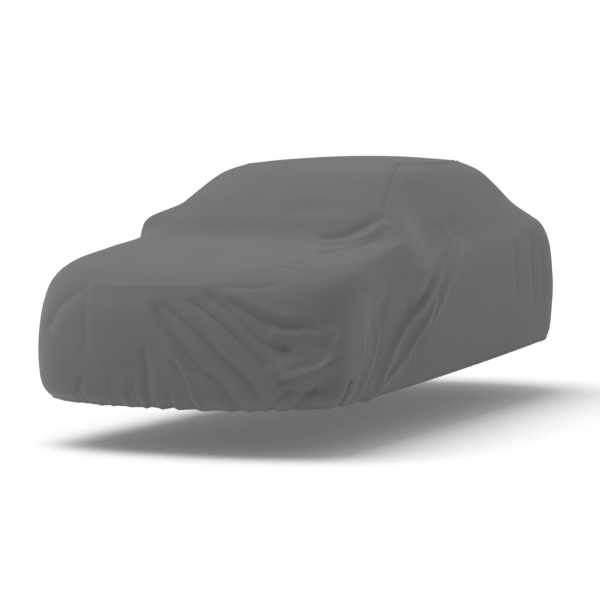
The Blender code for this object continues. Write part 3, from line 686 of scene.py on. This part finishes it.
def new_object(name, points, cells, material):
    """A smooth mesh object, its cells four-sided or, where the last two points are alike, triangles."""
    used = np.unique(cells)
    number = np.full(used.max() + 1, -1)
    number[used] = np.arange(len(used))
    faces = [tuple(c[:3]) if c[2] == c[3] else tuple(c) for c in number[cells].tolist()]
    mesh = bpy.data.meshes.new(name)
    mesh.from_pydata(points[used].tolist(), [], faces)
    mesh.materials.append(material)
    mesh.shade_smooth()
    o = bpy.data.objects.new(name, mesh)
    bpy.context.scene.collection.objects.link(o)
    solid = o.modifiers.new("cloth", "SOLIDIFY")
    solid.thickness = CLOTH
    solid.offset = -1
    bpy.context.view_layer.update()
    o.data = bpy.data.meshes.new_from_object(o.evaluated_get(bpy.context.evaluated_depsgraph_get()))
    o.modifiers.clear()
    o.data.set_sharp_from_angle(angle=math.radians(SHARP_ANGLE))
    return o


def cloth_material():
    """Matte grey non-woven cloth: finely fibrous, faintly crumpled and of slightly uneven colour."""
    material = bpy.data.materials.new("cover_cloth")
    material.use_nodes = True
    tree = material.node_tree
    nodes, links = tree.nodes, tree.links
    shader = nodes["Principled BSDF"]
    place = nodes.new("ShaderNodeTexCoord")

    def noise_at(scale, detail):
        node = nodes.new("ShaderNodeTexNoise")
        node.inputs["Scale"].default_value = scale
        node.inputs["Detail"].default_value = detail
        links.new(place.outputs["Object"], node.inputs["Vector"])
        return node

    blotch = noise_at(3.0, 3.0)
    fibre = noise_at(900.0, 2.0)
    crumple = noise_at(16.0, 4.0)
    ramp = nodes.new("ShaderNodeMix")
    ramp.data_type = "RGBA"
    ramp.inputs["A"].default_value = (0.112, 0.112, 0.114, 1)
    ramp.inputs["B"].default_value = (0.128, 0.128, 0.130, 1)
    links.new(blotch.outputs["Fac"], ramp.inputs["Factor"])
    links.new(ramp.outputs["Result"], shader.inputs["Base Color"])
    coarse = nodes.new("ShaderNodeBump")
    coarse.inputs["Strength"].default_value = 0.25
    coarse.inputs["Distance"].default_value = 0.004
    links.new(crumple.outputs["Fac"], coarse.inputs["Height"])
    fine = nodes.new("ShaderNodeBump")
    fine.inputs["Strength"].default_value = 0.15
    fine.inputs["Distance"].default_value = 0.0004
    links.new(fibre.outputs["Fac"], fine.inputs["Height"])
    links.new(coarse.outputs["Normal"], fine.inputs["Normal"])
    links.new(fine.outputs["Normal"], shader.inputs["Normal"])
    shader.inputs["Roughness"].default_value = 0.9
    shader.inputs["Sheen Weight"].default_value = 0.15
    shader.inputs["Sheen Roughness"].default_value = 0.6
    shader.inputs["Specular IOR Level"].default_value = 0.25
    return material


def add_floor():
    """A white floor where the car's wheels would stand."""
    around = ((-1, -1), (1, -1), (1, 1), (-1, 1))
    corners = [(x * FLOOR_HALF, y * FLOOR_HALF, -ORIGIN[2]) for x, y in around]
    mesh = bpy.data.meshes.new("floor")
    mesh.from_pydata(corners, [], [(0, 1, 2, 3)])
    floor = bpy.data.objects.new("floor", mesh)
    bpy.context.scene.collection.objects.link(floor)
    material = bpy.data.materials.new("floor")
    material.use_nodes = True
    shader = material.node_tree.nodes["Principled BSDF"]
    shader.inputs["Base Color"].default_value = (0.95, 0.95, 0.95, 1)
    shader.inputs["Roughness"].default_value = 0.9
    shader.inputs["Emission Color"].default_value = (1, 1, 1, 1)
    shader.inputs["Emission Strength"].default_value = FLOOR_GLOW
    mesh.materials.append(material)


def add_sky():
    """A white studio all round: plain white to look at, dimmer as a light, and a little uneven."""
    world = bpy.data.worlds.new("studio")
    bpy.context.scene.world = world
    world.use_nodes = True
    nodes, links = world.node_tree.nodes, world.node_tree.links
    ray = nodes.new("ShaderNodeLightPath")
    level = nodes.new("ShaderNodeMapRange")
    level.inputs["To Max"].default_value = 1.0
    links.new(ray.outputs["Is Camera Ray"], level.inputs["Value"])
    way = nodes.new("ShaderNodeTexCoord")
    part = nodes.new("ShaderNodeSeparateXYZ")
    side = nodes.new("ShaderNodeMapRange")
    side.inputs["From Min"].default_value = -1.0
    side.inputs["To Min"].default_value = SKY_LIGHT * (1 + SKY_LEAN)
    side.inputs["To Max"].default_value = SKY_LIGHT * (1 - SKY_LEAN)
    links.new(way.outputs["Generated"], part.inputs["Vector"])
    links.new(part.outputs["X"], side.inputs["Value"])
    links.new(side.outputs["Result"], level.inputs["To Min"])
    nodes["Background"].inputs["Color"].default_value = (1, 1, 1, 1)
    links.new(level.outputs["Result"], nodes["Background"].inputs["Strength"])


def add_key():
    """The broad soft light from above."""
    key = bpy.data.lights.new("key", "SUN")
    key.energy = KEY_LIGHT
    key.angle = math.radians(KEY_SPREAD)
    lamp = bpy.data.objects.new("key", key)
    lamp.rotation_euler = Vector(KEY_FROM).to_track_quat("Z", "Y").to_euler()
    bpy.context.scene.collection.objects.link(lamp)


def add_camera():
    """The view from the car's left front, low down and far off."""
    azimuth, elevation = math.radians(VIEW_AZIMUTH), math.radians(VIEW_ELEVATION)
    level = Vector((math.sin(azimuth), -math.cos(azimuth), 0))
    back = level * math.cos(elevation) + Vector((0, 0, math.sin(elevation)))
    right = Vector((math.cos(azimuth), math.sin(azimuth), 0))
    data = bpy.data.cameras.new("camera")
    data.sensor_width = VIEW_SENSOR
    data.lens = VIEW_LENS
    data.clip_end = 200
    view = bpy.data.objects.new("camera", data)
    bpy.context.scene.collection.objects.link(view)
    placed = Matrix((right, back.cross(right), back)).transposed().to_4x4()
    target = right * VIEW_SHIFT + Vector((0, 0, VIEW_HEIGHT)) - Vector(ORIGIN)
    placed.translation = target + back * VIEW_DISTANCE
    view.matrix_world = placed
    bpy.context.scene.camera = view


bpy.context.scene.view_settings.view_transform = "Standard"
cloth = cloth_material()
sheet = Sheet()
normals = normals_of(sheet.points, sheet.quads)
move = lay_folds(sheet.points, normals) + gathers(sheet) + seams(sheet) + pocket_seams(sheet)
outer = sheet.points + normals * move[:, None]
quads, panel = sheet.drawn_cells()
for name, (width, length, share) in FLAT.items():
    o = new_object(name + "_cloth", outer, quads[panel == name], cloth)
    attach(o, "root")
    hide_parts(name)
add_floor()
add_sky()
add_key()
add_camera()
